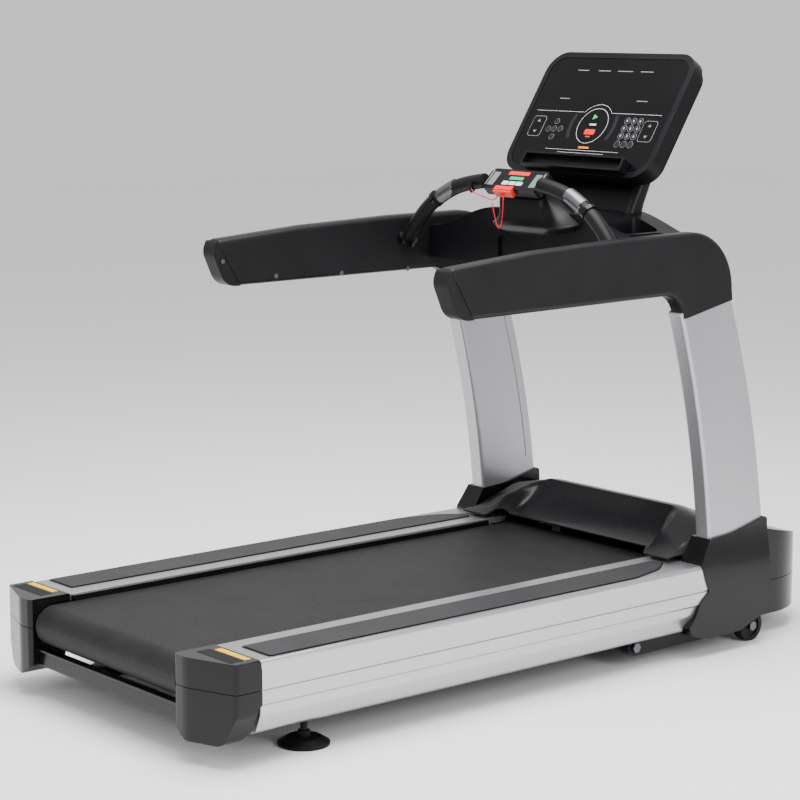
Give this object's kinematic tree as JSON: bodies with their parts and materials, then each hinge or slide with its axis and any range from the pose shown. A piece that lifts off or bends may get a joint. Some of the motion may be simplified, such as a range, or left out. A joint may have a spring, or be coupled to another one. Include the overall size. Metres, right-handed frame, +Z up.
{
  "type": "treadmill",
  "caption": "Motorised treadmill with a belt deck, aluminium side rails, curved uprights, long side arms, a tilted display console and a central handlebar pod.",
  "frame": {"origin": "on the floor, on the centre plane, at the middle of the overall length", "axes": "+Z up, +Y towards the console end, +X to the runner's right"},
  "size_m": [0.9518, 2.0337, 1.5098],
  "materials": {
    "arm_black": "fine texture",
    "belt_rubber": "fine diamond texture",
    "black_plastic": "fine texture",
    "console_black": "fine texture",
    "controller_grey": "cast",
    "cord_red": "braided",
    "cushion_rubber": "matt",
    "deck_wood": "waxed board",
    "fastener_steel": "zinc plated",
    "foot_black": "matt",
    "frame_black": "satin",
    "grip_rubber": "matt",
    "hood_grey": "satin",
    "key_green": "satin",
    "key_grey": "satin",
    "key_red": "satin",
    "key_white": "satin",
    "lift_black": "satin",
    "machined_steel": "turned",
    "motor_black": "satin",
    "pad_rubber": "ribbed",
    "panel_gloss": "gloss",
    "rail_aluminium": "satin anodised",
    "sensor_steel": "satin",
    "upright_silver": "metallic silver",
    "wheel_rubber": "matt"
  },
  "bodies": {
    "base": {"frame_rails": "frame_black", "frame_cross_members": "frame_black", "rear_crossbar": "black_plastic", "side_rail_right": "rail_aluminium", "side_rail_left": "rail_aluminium", "foot_rail_pads": "pad_rubber", "rear_end_cap_right": "black_plastic", "rear_end_cap_left": "black_plastic", "running_deck": "deck_wood", "deck_cushions": "cushion_rubber", "running_belt": "belt_rubber", "belt_guides": "black_plastic", "roller_axles": "machined_steel", "roller_bearings": "machined_steel", "belt_tension_bolts": "fastener_steel", "drive_motor": "motor_black", "drive_belt": "grip_rubber", "motor_controller": "controller_grey", "lift_pivot_bolts": "fastener_steel", "motor_hood": "hood_grey", "front_cover": "black_plastic", "corner_cover_right": "black_plastic", "corner_cover_left": "black_plastic", "upright_right": "upright_silver", "upright_left": "upright_silver", "arm_right": "arm_black", "arm_left": "arm_black", "arm_end_tips": "black_plastic", "arm_screws": "fastener_steel", "bridge_housing": "black_plastic", "console_mast": "black_plastic", "console_housing": "console_black", "console_panel": "panel_gloss", "device_ledge": "black_plastic", "handlebar_right": "grip_rubber", "handlebar_left": "grip_rubber", "pulse_sensor_plates": "sensor_steel", "control_pod": "black_plastic", "power_inlet": "black_plastic"},
    "roller_rear": {"rear_roller": "machined_steel"},
    "roller_front": {"front_roller": "machined_steel"},
    "motor_rotor": {"motor_shaft": "machined_steel"},
    "lift": {"lift_frame": "lift_black", "wheel_bolts": "fastener_steel"},
    "wheel_right": {"transport_wheel_right": "wheel_rubber"},
    "wheel_left": {"transport_wheel_left": "wheel_rubber"},
    "actuator": {"actuator_body": "motor_black"},
    "screw": {"actuator_screw": "machined_steel"},
    "foot_right": {"rear_foot_right": "foot_black"},
    "foot_left": {"rear_foot_left": "foot_black"},
    "safety": {"safety_key": "key_red", "safety_lanyard": "cord_red", "lanyard_clip": "black_plastic"},
    "button_stop_key": {"stop_key": "key_red"},
    "button_start_key": {"start_key": "key_green"},
    "button_mode_key_left": {"mode_key_left": "key_white"},
    "button_mode_key_middle": {"mode_key_middle": "key_white"},
    "button_mode_key_right": {"mode_key_right": "key_white"},
    "button_speed_toggle": {"speed_toggle": "key_grey"},
    "button_incline_toggle": {"incline_toggle": "key_grey"}
  },
  "joints": [
    {"name": "front_roller_spin", "type": "hinge", "parent": "base", "child": "roller_front", "pos_m": [0, 0.515, 0.1737], "axis": [1, 0, 0], "continuous": true},
    {"name": "rear_roller_spin", "type": "hinge", "parent": "base", "child": "roller_rear", "pos_m": [0, -0.957, 0.1737], "axis": [1, 0, 0], "continuous": true},
    {"name": "motor_spin", "type": "hinge", "parent": "base", "child": "motor_rotor", "pos_m": [0, 0.74, 0.176], "axis": [1, 0, 0], "continuous": true},
    {"name": "lift_pivot", "type": "hinge", "parent": "base", "child": "lift", "pos_m": [0, 0.282, 0.052], "axis": [-1, 0, 0], "range_deg": [0, 31]},
    {"name": "actuator_swing", "type": "hinge", "parent": "base", "child": "actuator", "pos_m": [0.413, -0.04, 0.14], "axis": [-1, 0, 0], "range_deg": [0, 2.15]},
    {"name": "actuator_extend", "type": "slide", "parent": "actuator", "child": "screw", "axis": [0, 0.9995, 0.031], "range_m": [0, 0.0515]},
    {"name": "wheel_right_spin", "type": "hinge", "parent": "lift", "child": "wheel_right", "pos_m": [0.423, 0.70083, 0.04], "axis": [1, 0, 0], "continuous": true},
    {"name": "wheel_left_spin", "type": "hinge", "parent": "lift", "child": "wheel_left", "pos_m": [-0.423, 0.70083, 0.04], "axis": [1, 0, 0], "continuous": true},
    {"name": "foot_right_screw", "type": "slide", "parent": "base", "child": "foot_right", "axis": [0, 0, -1], "range_m": [0, 0.015]},
    {"name": "foot_left_screw", "type": "slide", "parent": "base", "child": "foot_left", "axis": [0, 0, -1], "range_m": [0, 0.015]},
    {"name": "safety_key_pull", "type": "slide", "parent": "base", "child": "safety", "axis": [0, -1, 0], "range_m": [0, 0.02]},
    {"name": "stop_key_press", "type": "slide", "parent": "base", "child": "button_stop_key", "axis": [0, 0.6921, -0.7218], "range_m": [0, 0.001], "stiffness_N_per_m": 400, "springref_m": -0.001},
    {"name": "start_key_press", "type": "slide", "parent": "base", "child": "button_start_key", "axis": [0, 0.6921, -0.7218], "range_m": [0, 0.001], "stiffness_N_per_m": 400, "springref_m": -0.001},
    {"name": "mode_key_left_press", "type": "slide", "parent": "base", "child": "button_mode_key_left", "axis": [0, 0.6921, -0.7218], "range_m": [0, 0.001], "stiffness_N_per_m": 400, "springref_m": -0.001},
    {"name": "mode_key_middle_press", "type": "slide", "parent": "base", "child": "button_mode_key_middle", "axis": [0, 0.6921, -0.7218], "range_m": [0, 0.001], "stiffness_N_per_m": 400, "springref_m": -0.001},
    {"name": "mode_key_right_press", "type": "slide", "parent": "base", "child": "button_mode_key_right", "axis": [0, 0.6921, -0.7218], "range_m": [0, 0.001], "stiffness_N_per_m": 400, "springref_m": -0.001},
    {"name": "speed_toggle_press", "type": "slide", "parent": "base", "child": "button_speed_toggle", "axis": [0, 0.6921, -0.7218], "range_m": [0, 0.001], "stiffness_N_per_m": 400, "springref_m": -0.001},
    {"name": "incline_toggle_press", "type": "slide", "parent": "base", "child": "button_incline_toggle", "axis": [0, 0.6921, -0.7218], "range_m": [0, 0.001], "stiffness_N_per_m": 400, "springref_m": -0.001}
  ],
  "couplings": [
    {"joint": "rear_roller_spin", "follows": "front_roller_spin", "ratio": 1},
    {"joint": "motor_spin", "follows": "front_roller_spin", "ratio": 2.5},
    {"joint": "actuator_swing", "follows": "lift_pivot", "ratio": 0.0676},
    {"joint": "actuator_extend", "follows": "lift_pivot", "m_per_rad": 0.09467}
  ]
}
